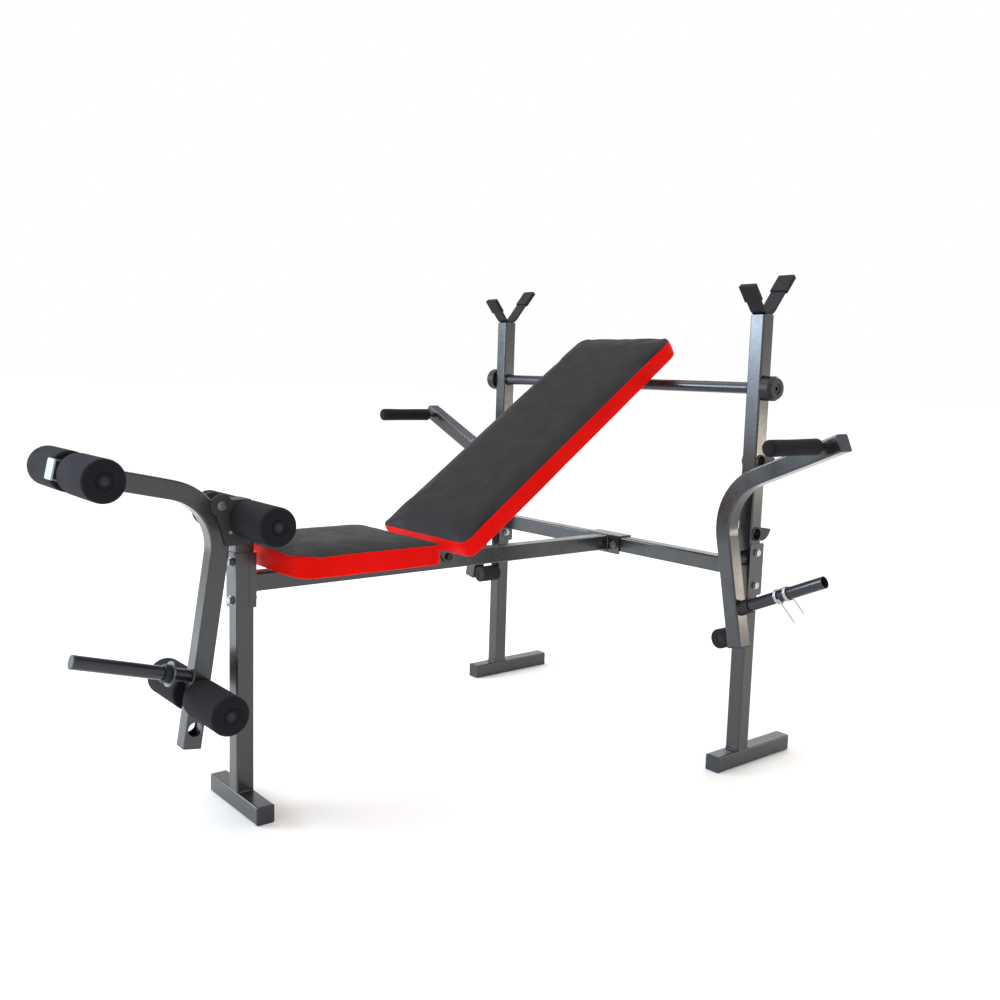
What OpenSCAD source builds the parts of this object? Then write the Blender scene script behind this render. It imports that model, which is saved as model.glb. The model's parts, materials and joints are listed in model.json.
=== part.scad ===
// Adjustable weight bench with barbell rests, butterfly arms and a leg developer.
// Millimetres. X runs to the right, Y from the leg developer to the rack, Z up.
// The origin lies on the floor, under the middle of the bench.

/* [Frame tubes] */
// Outside width of every square frame tube
tube = 35; // [30:1:40]
// Wall of the square frame tubes
wall = 2; // [1.5:0.5:3]
// Outside corner radius of the square frame tubes
corner = 3.5; // [3.5:0.5:5]
// Height of the middle of the main beam and the crossbar
beam_z = 436; // [400:1:460]
// Half length of the front foot without its caps
front_foot_half = 97.5; // [80:0.5:200]

/* [Rack] */
// Distance from the middle of the bench to the middle of an upright
upright_x = 417; // [380:1:460]
// Distance from the front post to the uprights
rack_y = 971.5; // [900:0.5:1000]
// Height of the upright tubes
upright_top = 974; // [900:1:1100]
// Height of the highest support bar hole
hole_top = 822; // [780:1:860]
// Drop from one support bar hole to the next
hole_pitch = 154.5; // [120:0.5:170]
// Radius of the support bar
bar_r = 12.7; // [12:0.1:14]

/* [Pads] */
// Half width of the seat and the backrest
pad_half = 154; // [120:1:180]
// Length of the backrest
back_len = 741; // [600:1:800]
// Slope of the backrest while it lies on the support bar
back_tilt = 36.2; // [30:0.1:40]

/* [Leg developer] */
// Radius of the foam rollers
foam_r = 35.5; // [30:0.5:40]
// Half length of a roller set, foam end to foam end
roller_half = 150; // [130:1:180]

/* [Butterfly arms] */
// Outward lean of the lower leg of an arm
arm_lean = 11.25; // [5:0.25:20]
// Height of the arm pivots
arm_pivot_z = 460; // [440:1:480]
// Radius of the plate pegs
peg_r = 12.7; // [12:0.1:14]
// Length of a plate peg
peg_len = 211; // [150:1:250]

/* [Hidden] */
$fn = 48;

steel_grey = [0.38, 0.41, 0.45];
zinc = [0.75, 0.75, 0.77];
black = [0.08, 0.08, 0.09];
foam_black = [0.14, 0.13, 0.15];
vinyl_black = [0.12, 0.11, 0.12];
ply = [0.55, 0.42, 0.28];
cap_grey = [0.72, 0.72, 0.72];

// Half way along the bench; every node is moved forward by this much.
mid_y = 399.7;
half = tube / 2;
bore_r = tube / 2 - wall;
run_gap = 0.08;      // radial clearance of parts that turn on each other
part_gap = 0.4;      // clearance between faces that pass each other
plate_t = 3;
cap_t = 3;
bend_lap = 0.5;      // how far a straight run reaches into a bend
bend_thin = 0.05;    // wall that a bend loses on each face
bolt_r = 4;
hex_k = 1.9;         // corner radius of a hexagon head over the bolt radius
head_h = 5.5;
nut_h = 6.5;
flange_t = 1.5;
post_top = 590;
front_face = rack_y - half;
rear_face = rack_y + half;
foot_front = 892;
foot_rear = 1136;
cross_bolt_z = [402, 473];
cross_bolt_y = 974;
clamp_bolt_z = [404, 476];
clamp_z = [390, 494];
clamp_split_y = 5.6;
beam_end_y = rack_y - tube / 2 - 4;
saddle_half = 55;
saddle_drop = 24;
tee_bolt_x = 37;
bar_holes = [hole_top, hole_top - hole_pitch, hole_top - 2 * hole_pitch];

leg_pivot = [-48, 584];
leg_low = [-103.3, 143];
leg_corner = [-34.3, 594.6];
leg_high = [-333, 659];
leg_bend_r = 110;
leg_lean = atan2(leg_corner[0] - leg_low[0], leg_corner[1] - leg_low[1]);
knee_at = [0, 558];
upper_at = [-297, 651.2];
lower_at = [-89.2, 235];
leg_hole_at = [-98.3, 176];
leg_hole_r = 13.5;
post_base = [-101.3, 272];
post_rise = 16;
post_len = 213;
post_disc_s = 37;
roller_r = 12.7;
ear_low = 510;
ear_screw_at = [-33, 535.5];
ear_screw_r = 1.5;
cap_x = upright_x + half + 2.5;
cap_bore = 23.5;
foam_gap = 20;
knee_gap = 24;

back_at = [402.4, 496.4];
back_pivot = [464, 445];
rail_w = 20;
rail_x = 22.1;
rail_top = -40;
rail_bottom = -60;
lug_t = 4;
pad_t = 28;

arm_y = 909.5;
arm_low = [452.4, 282];
arm_corner = [388.4, 603.7];
arm_high = [665, 724];
arm_bend_r = 120;
arm_bolt_r = 6;
pivot_floor = 4;
peg_rise = 25;
peg_base = [454.1, 363];
peg_bore_r = 10.7;
root_r = 12.2;        // turned down end of a peg or post, inside its socket or rings
peg_root = 27;
post_root = 53;
slip = 0.05;          // radial room of a part that sits on a bar or tube
grip_at = [634, 716];
grip_y = [716, 872];
grip_r = 16;
grip_rod_r = 8;
bumper_at = [411, 290];
bumper_r = 21;
collar_s = 97;
collar_turn = 28;
wire_r = 1.8;
handle_len = 60;

rest_in = 22;
rest_t = 5;
rest_slope = 51;
rest_front = 56;
rest_rear = 92.5;
rest_lap = 0.8;      // how far a straight arm of a rest reaches into its bend
rest_at = [rack_y, upright_top + rest_in + rest_t - bend_thin];
seat_y = [40, 355];
seat_z = [460, 472, 502];
seat_bar_y = [100, 290];
seat_bar_half = 105;
seat_screw_r = 3;
seat_screw_at = [for (x = [-80, 80], y = seat_bar_y) [x, y]];
back_screw_s = [130, 590];

function unit(v) = v / norm(v);

module in_place() {
    translate([0, -mid_y, 0]) children();
}

module both_sides() {
    children();
    mirror([1, 0, 0]) children();
}

// Stands a drawing made in the XY plane up in the YZ plane.
module to_yz() {
    rotate([90, 0, 90]) children();
}

// Stands a drawing made in the XY plane up in the XZ plane.
module to_xz() {
    rotate([90, 0, 0]) children();
}

module rod_x(x0, x1, at, r) {
    translate([x0, at[0], at[1]]) rotate([0, 90, 0]) cylinder(r = r, h = x1 - x0);
}

module rod_y(y0, y1, at, r) {
    translate([at[0], y1, at[1]]) rotate([90, 0, 0]) cylinder(r = r, h = y1 - y0);
}

module round_rect(w, h, r) {
    square([w - 2 * r, h], center = true);
    square([w, h - 2 * r], center = true);
    for (sx = [-1, 1], sy = [-1, 1]) {
        translate([sx * (w / 2 - r), sy * (h / 2 - r)]) circle(r = r);
    }
}

// Section of the square tube; thin is how much less wall it has on each face.
module tube_outline(thin = 0) {
    outer = tube - 2 * thin;
    inner = tube - 2 * wall + 2 * thin;
    difference() {
        round_rect(outer, outer, corner);
        round_rect(inner, inner, corner - wall);
    }
}

module tube_x(x0, x1, y, z) {
    translate([x0, y, z]) rotate([90, 0, 90]) linear_extrude(x1 - x0) tube_outline();
}

module tube_y(x, y0, y1, z) {
    translate([x, y1, z]) rotate([90, 0, 0]) linear_extrude(y1 - y0) tube_outline();
}

module tube_z(x, y, z0, z1) {
    translate([x, y, z0]) linear_extrude(z1 - z0) tube_outline();
}

// One straight run of tube in the XY plane, from point p to point q.
module tube_run(p, q) {
    d = q - p;
    translate([p[0], p[1], 0]) rotate([0, 0, atan2(d[1], d[0])])
        rotate([90, 0, 90]) linear_extrude(norm(d)) tube_outline();
}

// A tube in the XY plane that runs from a to c with one bend near b.
module bent_tube(a, b, c, r) {
    d1 = unit(a - b);
    d2 = unit(c - b);
    turn = 180 - acos(d1 * d2);
    reach = r * tan(turn / 2);
    t1 = b + reach * d1;
    t2 = b + reach * d2;
    o = b + unit(d1 + d2) * r / cos(turn / 2);
    v1 = t1 - o;
    v2 = t2 - o;
    start = v1[0] * v2[1] - v1[1] * v2[0] > 0 ? v1 : v2;
    tube_run(a, t1 - bend_lap * d1);
    tube_run(t2 - bend_lap * d2, c);
    translate([o[0], o[1], 0]) rotate([0, 0, atan2(start[1], start[0])])
        rotate_extrude(angle = turn, $fn = 96) translate([r, 0]) tube_outline(bend_thin);
}

// End cap of a square tube; it faces up and its plug hangs below.
module tube_cap() {
    translate([0, 0, 0.02]) linear_extrude(cap_t - 0.02) round_rect(tube, tube, corner);
    translate([0, 0, -14]) linear_extrude(14.03)
        round_rect(2 * bore_r - 0.3, 2 * bore_r - 0.3, corner - wall);
}

// Flange bolt along +Z with the face under its head at 0.
module hex_bolt(r, grip) {
    translate([0, 0, -head_h]) cylinder(r = hex_k * r, h = head_h, $fn = 6);
    translate([0, 0, -flange_t]) cylinder(r = 2.15 * r, h = flange_t);
    cylinder(r = r, h = grip + nut_h + 3);
}

module hex_nut(r, grip) {
    translate([0, 0, grip]) difference() {
        union() {
            cylinder(r = hex_k * r, h = nut_h, $fn = 6);
            cylinder(r = 2.15 * r, h = flange_t);
        }
        translate([0, 0, -1]) cylinder(r = r + 0.05, h = nut_h + 2);
    }
}

module bolt_and_nut(r, grip) {
    hex_bolt(r, grip);
    hex_nut(r, grip);
}

module screw_up(r, len) {
    translate([0, 0, -3.5]) cylinder(r = 2.2 * r, h = 3.5);
    cylinder(r = r, h = len);
}

// Fillet weld along Y, in the corner of two faces, leg lengths s.
module weld_y(x, y0, y1, z, side) {
    translate([x, y1, z]) rotate([90, 0, 0]) linear_extrude(y1 - y0)
        polygon([[0, 0], [side * 4.5, 0], [0, 4.5]]);
}

module weld_x(x0, x1, y, z, side) {
    translate([x0, y, z]) rotate([90, 0, 90]) linear_extrude(x1 - x0)
        polygon([[0, 0], [side * 4.5, 0], [0, 4.5]]);
}

// ---- front post and foot ----

module front_foot() color(steel_grey) in_place() {
    tube_x(-front_foot_half, front_foot_half, 0, half);
}

module front_foot_caps() color(black) in_place() both_sides() {
    translate([front_foot_half, 0, half]) rotate([0, 90, 0]) tube_cap();
}

module front_post() color(steel_grey) in_place() {
    difference() {
        tube_z(0, 0, tube, post_top);
        rod_x(-tube, tube, knee_at, roller_r + run_gap);
        for (z = clamp_bolt_z) rod_y(-tube, tube, [0, z], bolt_r + 0.1);
    }
    both_sides() weld_y(half, -half + 3, half - 3, tube, 1);
}

module ear_outline() {
    difference() {
        union() {
            polygon([[-34, 594], [8, 594], [8, ear_low], [-40, ear_low], [-42, 514], [-48, 540],
                [-57, 562], [-48, 604], [-40, 603]]);
            translate(leg_pivot) circle(r = 21);
        }
        translate(leg_pivot) circle(r = bolt_r + 0.1);
        translate(knee_at) circle(r = roller_r + 1);
    }
}

module post_ears() color(steel_grey) in_place() {
    ear_in = half + 0.6;
    difference() {
        union() {
            both_sides() translate([ear_in, 0, 0]) to_yz() linear_extrude(4) ear_outline();
            both_sides() translate([half, -15, ear_low + 1]) cube([0.7, 22, 592 - ear_low]);
            translate([-ear_in - 0.1, -34, post_top]) cube([2 * ear_in + 0.2, 42, 4]);
        }
        rod_x(-tube, tube, knee_at, roller_r + 1);
        rod_x(-tube, tube, ear_screw_at, ear_screw_r + 0.1);
    }
}

module arm_stop() color(black) in_place() {
    translate([-10, -30.6, 512]) cube([20, 30.6 - half, 10]);
}

module post_clamp() color(steel_grey) in_place() {
    outer = half + plate_t;
    h = clamp_z[1] - clamp_z[0];
    difference() {
        translate([-outer, -outer, clamp_z[0]]) cube([2 * outer, outer + clamp_split_y - 0.3, h]);
        translate([0, 0, clamp_z[0] - 1]) linear_extrude(h + 2) union() {
            round_rect(tube, tube, corner);
            translate([-half, 0]) square([tube, tube]);
        }
        for (z = clamp_bolt_z) rod_y(-tube, tube, [0, z], bolt_r + 0.1);
    }
}

// ---- bolts that hold the frame together ----

module frame_bolts() color(zinc) in_place() {
    both_sides() translate([half + 4.6, ear_screw_at[0], ear_screw_at[1]]) rotate([0, -90, 0])
        screw_up(ear_screw_r, 3.9);
    clamp_grip = tube + 2 * plate_t;
    for (z = clamp_bolt_z) {
        translate([0, -half - plate_t, z]) rotate([-90, 0, 0]) bolt_and_nut(bolt_r, clamp_grip);
    }
    both_sides() {
        translate([tee_bolt_x, beam_end_y, beam_z - 2]) rotate([-90, 0, 0])
            bolt_and_nut(bolt_r, rear_face + plate_t + 0.3 - beam_end_y);
        for (z = cross_bolt_z) {
            translate([upright_x + half + plate_t, cross_bolt_y, z]) rotate([0, -90, 0])
                bolt_and_nut(bolt_r, clamp_grip);
        }
    }
}

module leg_pivot_bolt() color(zinc) in_place() {
    translate([half + 4.6, leg_pivot[0], leg_pivot[1]]) rotate([0, -90, 0])
        bolt_and_nut(bolt_r, tube + 9.2);
}

// ---- main beam and crossbar ----

// Channel at the end of the main beam that sits over the crossbar.
module crossbar_saddle() {
    top = beam_z + half + 0.3;
    low = beam_z - saddle_drop;
    difference() {
        translate([-saddle_half, beam_end_y, low])
            cube([2 * saddle_half, rear_face + plate_t + 0.3 - beam_end_y, top + plate_t - low]);
        translate([-saddle_half - 1, front_face, low - 1])
            cube([2 * saddle_half + 2, tube + 0.3, top - low + 1]);
    }
}

module main_beam() color(steel_grey) in_place() {
    outer = half + plate_t;
    h = clamp_z[1] - clamp_z[0];
    difference() {
        union() {
            tube_y(0, outer, beam_end_y, beam_z);
            difference() {
                translate([-outer, clamp_split_y + 0.3, clamp_z[0]])
                    cube([2 * outer, outer - clamp_split_y - 0.3, h]);
                translate([0, 0, clamp_z[0] - 1]) linear_extrude(h + 2) union() {
                    round_rect(tube, tube, corner);
                    translate([-half, -tube]) square([tube, tube]);
                }
            }
            crossbar_saddle();
            for (y = seat_bar_y) {
                translate([-seat_bar_half, y - 15, beam_z + half]) cube([2 * seat_bar_half, 30, 6.5]);
            }
        }
        for (z = clamp_bolt_z) rod_y(0, tube, [0, z], bolt_r + 0.1);
        for (x = [-tee_bolt_x, tee_bolt_x]) {
            rod_y(beam_end_y - 1, rear_face + tube, [x, beam_z - 2], bolt_r + 0.1);
        }
        rod_x(-tube, tube, back_pivot, bolt_r + 0.1);
        for (p = seat_screw_at) {
            translate([p[0], p[1], beam_z]) cylinder(r = seat_screw_r + 0.1, h = tube);
        }
    }
}

module crossbar() color(steel_grey) in_place() {
    plate_in = upright_x - half - plate_t;
    difference() {
        union() {
            tube_x(-plate_in, plate_in, rack_y, beam_z);
            both_sides() side_plate(plate_in);
        }
        for (x = [-tee_bolt_x, tee_bolt_x]) {
            rod_y(front_face - 1, rear_face + 1, [x, beam_z - 2], bolt_r + 0.1);
        }
    }
}

module side_plate(x) {
    difference() {
        translate([x, 0, 0]) to_yz() linear_extrude(plate_t)
            translate([cross_bolt_y, beam_z]) round_rect(46, 113, 5);
        for (z = cross_bolt_z) {
            rod_x(x - 1, x + plate_t + 1, [cross_bolt_y, z], bolt_r + 0.1);
        }
    }
}

module upright_plates() color(steel_grey) in_place() both_sides() {
    side_plate(upright_x + half);
}

// ---- uprights with their feet ----

module upright() {
    difference() {
        union() {
            tube_z(upright_x, rack_y, tube, upright_top);
            tube_y(upright_x, foot_front, foot_rear, half);
            weld_x(upright_x - half + 3, upright_x + half - 3, front_face, tube, -1);
            weld_x(upright_x - half + 3, upright_x + half - 3, rear_face, tube, 1);
        }
        for (z = bar_holes) rod_x(upright_x - tube, upright_x + tube, [rack_y, z], 14);
        for (z = cross_bolt_z) {
            rod_x(upright_x - tube, upright_x + tube, [cross_bolt_y, z], bolt_r + 0.1);
        }
        rod_y(rack_y - tube, rack_y + tube, [upright_x, arm_pivot_z], arm_bolt_r + 0.1);
        rod_y(rack_y - tube, rack_y, bumper_at, 4.1);
    }
}

module upright_right() color(steel_grey) in_place() upright();

module upright_left() color(steel_grey) in_place() mirror([1, 0, 0]) upright();

module rear_foot_caps() color(black) in_place() both_sides() {
    translate([upright_x, foot_front, half]) rotate([90, 0, 0]) tube_cap();
    translate([upright_x, foot_rear, half]) rotate([-90, 0, 0]) tube_cap();
}

// ---- barbell rests ----

// A strip beside one arm of a rest: side is 1 at the rear and -1 at the front.
module rest_strip(side, low, high, spare) {
    rotate(side * (rest_slope - 90)) translate([side > 0 ? rest_in - spare : -rest_in - rest_t - spare, low])
        square([rest_t + 2 * spare, high - low]);
}

module rest_outline() {
    far = 60;
    translate(rest_at) {
        difference() {
            circle(r = rest_in + rest_t - bend_thin);
            circle(r = rest_in + bend_thin);
            polygon([[0, 0], far * [cos(rest_slope - 90), sin(rest_slope - 90)], [far, far],
                [-far, far], far * [-cos(rest_slope - 90), sin(rest_slope - 90)]]);
        }
        rest_strip(1, -rest_lap, rest_rear, 0);
        rest_strip(-1, -rest_lap, rest_front, 0);
    }
}

module rest() {
    translate([upright_x - half, 0, 0]) to_yz() linear_extrude(tube) rest_outline();
}

module rest_right() color(black) in_place() rest();

module rest_left() color(black) in_place() mirror([1, 0, 0]) rest();

module rest_covers() color(black) in_place() both_sides() {
    difference() {
        translate([upright_x - half - 2, 0, 0]) to_yz() linear_extrude(tube + 4) translate(rest_at) {
            rest_strip(1, rest_rear - 42, rest_rear + 2.5, 2.5);
            rest_strip(-1, rest_front - 36, rest_front + 2.5, 2.5);
        }
        rest();
    }
}

// ---- adjustment holes ----

module bushing() {
    difference() {
        union() {
            cylinder(r = 15.5, h = 2);
            translate([0, 0, -13]) cylinder(r = 13.9, h = 13.5);
        }
        translate([0, 0, -14]) cylinder(r = bar_r + run_gap, h = 17);
    }
}

module hole_bushings() color(black) in_place() both_sides() {
    for (z = bar_holes) {
        translate([upright_x + half, rack_y, z]) rotate([0, 90, 0]) bushing();
        translate([upright_x - half, rack_y, z]) rotate([0, -90, 0]) bushing();
    }
}

module rear_lugs() color(black) in_place() both_sides() {
    lug_r = 30;
    for (i = [1, 2]) {
        translate([upright_x - 14, rear_face, bar_holes[i] + 13]) to_yz() linear_extrude(28)
            intersection() {
                translate([8, 0]) circle(r = lug_r);
                polygon([[0, 0], [45, -45 * tan(9)], [45, -40], [0, -40]]);
            }
    }
}

// ---- seat ----

// Outline of a pad: x half width, y from 0 to len, corner radii at its two ends.
module pad_outline(x, len, r0, r1) {
    translate([-x, r0]) square([2 * x, len - r0 - r1]);
    translate([-x + r0, 0]) square([2 * (x - r0), r0 + 0.01]);
    translate([-x + r1, len - r1 - 0.01]) square([2 * (x - r1), r1 + 0.01]);
    for (s = [-1, 1]) {
        translate([s * (x - r0), r0]) circle(r = r0);
        translate([s * (x - r1), len - r1]) circle(r = r1);
    }
}

module seat_board() color(ply) in_place() {
    difference() {
        translate([0, seat_y[0] + 5, seat_z[0]]) linear_extrude(seat_z[1] - seat_z[0])
            pad_outline(pad_half - 5, seat_y[1] - seat_y[0] - 10, 35, 15);
        for (p = seat_screw_at) {
            translate([p[0], p[1], seat_z[0] - 1]) cylinder(r = seat_screw_r + 0.05, h = 10);
        }
    }
}

module seat_pad() color(vinyl_black) in_place() {
    translate([0, seat_y[0], seat_z[1]]) linear_extrude(seat_z[2] - seat_z[1])
        pad_outline(pad_half, seat_y[1] - seat_y[0], 40, 20);
}

module seat_screws() color(zinc) in_place() {
    for (p = seat_screw_at) {
        translate([p[0], p[1], beam_z + half]) screw_up(seat_screw_r, 14);
    }
}

// ---- backrest ----

// Frame of the backrest: y runs up its slope, z is square to it, 0 on the cushion face.
module on_back() {
    in_place() translate([0, back_at[0], back_at[1]]) rotate([back_tilt, 0, 0]) children();
}

function to_back(p) = [
    (p[0] - back_at[0]) * cos(back_tilt) + (p[1] - back_at[1]) * sin(back_tilt),
    (p[1] - back_at[1]) * cos(back_tilt) - (p[0] - back_at[0]) * sin(back_tilt)];

module lug_outline() {
    p = to_back(back_pivot);
    difference() {
        union() {
            polygon([[4, rail_top], [80, rail_top], [80, rail_bottom], [p[0] + 12, p[1] - 4],
                [p[0] - 12, p[1] - 4]]);
            translate(p) circle(r = 13);
        }
        translate(p) circle(r = bolt_r + run_gap);
    }
}

module back_rails() color(steel_grey) on_back() both_sides() {
    difference() {
        union() {
            translate([rail_x, 30, rail_bottom]) cube([rail_w, 670, rail_top - rail_bottom]);
            translate([rail_x - lug_t, 0, 0]) to_yz() linear_extrude(lug_t + 0.01) lug_outline();
        }
        translate([rail_x + 1.5, 29, rail_bottom + 1.5]) cube([rail_w - 3, 672, rail_w - 3]);
        for (s = back_screw_s) {
            translate([rail_x + rail_w / 2, s, rail_bottom - 1]) cylinder(r = 3.1, h = 30);
        }
    }
}

module back_board() color(ply) on_back() {
    difference() {
        translate([0, 5, rail_top]) linear_extrude(-rail_top - pad_t)
            pad_outline(pad_half - 5, back_len - 10, 15, 27);
        for (s = back_screw_s) both_sides() {
            translate([rail_x + rail_w / 2, s, rail_top - 1]) cylinder(r = 3.05, h = 9);
        }
    }
}

module back_pad() color(vinyl_black) on_back() {
    translate([0, 0, -pad_t]) linear_extrude(pad_t) pad_outline(pad_half, back_len, 20, 32);
}

module back_screws() color(zinc) on_back() both_sides() {
    for (s = back_screw_s) {
        translate([rail_x + rail_w / 2, s, rail_bottom]) screw_up(3, 27);
    }
}

module back_hinge_bolt() color(black) in_place() {
    face = rail_x + part_gap;
    translate([face, back_pivot[0], back_pivot[1]]) rotate([0, -90, 0]) {
        translate([0, 0, -5]) cylinder(r = 8, h = 5, $fn = 6);
        cylinder(r = bolt_r, h = 2 * face + 7);
        translate([0, 0, 2 * face]) difference() {
            cylinder(r = 8, h = 5, $fn = 6);
            translate([0, 0, -1]) cylinder(r = bolt_r + slip, h = 7);
        }
    }
}

// ---- support bar ----

module support_bar() color(zinc) in_place() difference() {
    rod_x(-455, cap_x + cap_bore - 0.3, [rack_y, hole_top], bar_r);
    rod_x(400, cap_x + cap_bore, [rack_y, hole_top], bar_r - 2);
}

module bar_cap() color(black) in_place() {
    translate([cap_x, rack_y, hole_top]) rotate([0, 90, 0]) difference() {
        union() {
            cylinder(r = 26, h = 21);
            translate([0, 0, 21]) cylinder(r1 = 26, r2 = 21, h = 8);
        }
        translate([0, 0, -1]) cylinder(r = bar_r + slip, h = cap_bore + 1);
        translate([0, 0, -1]) cylinder(r = 4.5, h = 31);
        translate([0, 0, 26.5]) cylinder(r1 = 8, r2 = 13, h = 2.6);
    }
}

module bar_knob() color(black) in_place() {
    x0 = upright_x + half + 2.5;
    translate([-x0, rack_y, hole_top]) rotate([0, -90, 0]) difference() {
        rotate_extrude() intersection() {
            union() {
                square([28, 19]);
                square([14, 33]);
                translate([14, 19]) circle(r = 14);
            }
            square([28, 33]);
        }
        translate([0, 0, -1]) cylinder(r = bar_r + slip, h = 455 - x0 + 1 + slip);
    }
}

// ---- leg developer ----

module leg_arm() color(steel_grey) in_place() {
    difference() {
        union() {
            to_yz() bent_tube(leg_low, leg_corner, leg_high, leg_bend_r);
            rod_x(-half, half, leg_pivot, 12);
        }
        rod_x(-tube, tube, leg_pivot, bolt_r + run_gap);
        for (p = [upper_at, lower_at]) rod_x(-tube, tube, p, roller_r + run_gap);
        rod_x(-tube, tube, leg_hole_at, leg_hole_r);
    }
}

module leg_arm_caps() color(cap_grey) in_place() {
    up = unit(leg_high - leg_corner);
    down = unit(leg_low - leg_corner);
    for (end = [[leg_high, up], [leg_low, down]]) {
        to_yz() translate([end[0][0], end[0][1], 0]) rotate([0, 0, atan2(end[1][1], end[1][0])])
            rotate([0, 90, 0]) tube_cap();
    }
    on_leg_post() translate([0, 0, post_len]) {
        cylinder(r = roller_r, h = cap_t);
        translate([0, 0, -10]) cylinder(r = 10.6, h = 10.01);
    }
}

module on_leg_post() {
    translate([0, post_base[0], post_base[1]]) rotate([90 - post_rise, 0, 0]) children();
}

// Everything behind the front face of the lower leg of the arm.
module behind_leg_face() {
    translate([-tube, leg_low[0], leg_low[1]]) rotate([-leg_lean, 0, 0])
        translate([0, -half, 0]) cube([2 * tube, 2 * tube, 250]);
}

module leg_plate_post() color(steel_grey) in_place() {
    difference() {
        on_leg_post() difference() {
            union() {
                translate([0, 0, -6]) cylinder(r = root_r, h = post_root + 7);
                translate([0, 0, post_root]) cylinder(r = roller_r, h = post_len - post_root);
            }
            translate([0, 0, -7]) cylinder(r = peg_bore_r, h = post_len + 8);
        }
        behind_leg_face();
    }
}

module post_ring(s, r, h) {
    on_leg_post() translate([0, 0, s]) difference() {
        cylinder(r = r, h = h);
        translate([0, 0, -1]) cylinder(r = root_r + slip, h = h + 2);
    }
}

module leg_post_disc() color(zinc) in_place() post_ring(post_disc_s, 23, 3);

module leg_post_collar() color(black) in_place() post_ring(post_disc_s + 3, 17, 12);

// ---- foam rollers ----

module roller_tube(at) {
    difference() {
        rod_x(-roller_half + 2, roller_half - 2, at, roller_r);
        rod_x(-roller_half, roller_half, at, roller_r - 1.5);
    }
}

module roller_foams(at, gap) {
    both_sides() difference() {
        rod_x(gap, roller_half, at, foam_r);
        rod_x(gap - 1, roller_half + 1, at, roller_r);
    }
}

module roller_plugs(at) {
    both_sides() {
        rod_x(roller_half, roller_half + 3, at, 16);
        rod_x(roller_half - 18, roller_half + 1, at, roller_r - 1.6);
    }
}

module knee_tube() color(zinc) in_place() roller_tube(knee_at);
module knee_foams() color(foam_black) in_place() roller_foams(knee_at, knee_gap);
module knee_plugs() color(black) in_place() roller_plugs(knee_at);
module upper_tube() color(zinc) in_place() roller_tube(upper_at);
module upper_foams() color(foam_black) in_place() roller_foams(upper_at, foam_gap);
module upper_plugs() color(black) in_place() roller_plugs(upper_at);
module lower_tube() color(zinc) in_place() roller_tube(lower_at);
module lower_foams() color(foam_black) in_place() roller_foams(lower_at, foam_gap);
module lower_plugs() color(black) in_place() roller_plugs(lower_at);

// ---- butterfly arms ----

module fly_arm() {
    difference() {
        union() {
            translate([0, arm_y, 0]) to_xz() bent_tube(arm_low, arm_corner, arm_high, arm_bend_r);
            rod_y(arm_y - half, arm_y + half, [upright_x, arm_pivot_z], 10);
            rod_y(grip_y[0] + 4, arm_y - half + 1, grip_at, grip_rod_r);
        }
        rod_y(arm_y - half + pivot_floor, arm_y + tube, [upright_x, arm_pivot_z], arm_bolt_r + run_gap);
    }
}

module arm_right() color(steel_grey) in_place() fly_arm();
module arm_left() color(steel_grey) in_place() mirror([1, 0, 0]) fly_arm();

module fly_arm_caps() {
    up = unit(arm_high - arm_corner);
    down = unit(arm_low - arm_corner);
    for (end = [[arm_high, up], [arm_low, down]]) {
        translate([0, arm_y, 0]) to_xz() translate([end[0][0], end[0][1], 0])
            rotate([0, 0, atan2(end[1][1], end[1][0])]) rotate([0, 90, 0]) tube_cap();
    }
}

module arm_cap_right() color(cap_grey) in_place() fly_arm_caps();
module arm_cap_left() color(cap_grey) in_place() mirror([1, 0, 0]) fly_arm_caps();

module grip() {
    difference() {
        rod_y(grip_y[0], grip_y[1], grip_at, grip_r);
        rod_y(grip_y[0] + 4, grip_y[1] + 1, grip_at, grip_rod_r);
    }
}

module grip_right() color(foam_black) in_place() grip();
module grip_left() color(foam_black) in_place() mirror([1, 0, 0]) grip();

module on_peg() {
    translate([peg_base[0], arm_y, peg_base[1]]) rotate([0, 90 - peg_rise, 0]) children();
}

// Everything inside the outer face of the lower leg of the right arm.
module inside_arm_face() {
    translate([upright_x, arm_y - tube, arm_pivot_z]) rotate([0, -arm_lean, 0])
        translate([half - 2 * tube, 0, -200]) cube([2 * tube, 2 * tube, 200]);
}

module peg() {
    difference() {
        on_peg() difference() {
            union() {
                translate([0, 0, -8]) cylinder(r = root_r, h = peg_root + 9);
                translate([0, 0, peg_root]) cylinder(r = peg_r, h = peg_len - peg_root);
            }
            translate([0, 0, -9]) cylinder(r = peg_bore_r, h = peg_len + 10);
        }
        inside_arm_face();
    }
}

module peg_right() color(zinc) in_place() peg();
module peg_left() color(zinc) in_place() mirror([1, 0, 0]) peg();

module socket() {
    difference() {
        on_peg() difference() {
            translate([0, 0, -8]) cylinder(r = 15.5, h = 34);
            translate([0, 0, -9]) cylinder(r = root_r + slip, h = 40);
        }
        inside_arm_face();
    }
}

module socket_right() color(black) in_place() socket();
module socket_left() color(black) in_place() mirror([1, 0, 0]) socket();

// Pivot bolt: the head is behind the upright, the shank ends inside the blind bore of the arm.
module arm_bolts() color(zinc) in_place() both_sides() {
    shank = rear_face - arm_y + half - pivot_floor - 1;
    translate([upright_x, rear_face, arm_pivot_z]) rotate([90, 0, 0])
        hex_bolt(arm_bolt_r, shank - nut_h - 3);
}

module arm_spacers() color(black) in_place() both_sides() difference() {
    rod_y(arm_y + half + part_gap, front_face, [upright_x, arm_pivot_z], 16);
    rod_y(arm_y, front_face + 1, [upright_x, arm_pivot_z], arm_bolt_r + 0.1);
}

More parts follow.
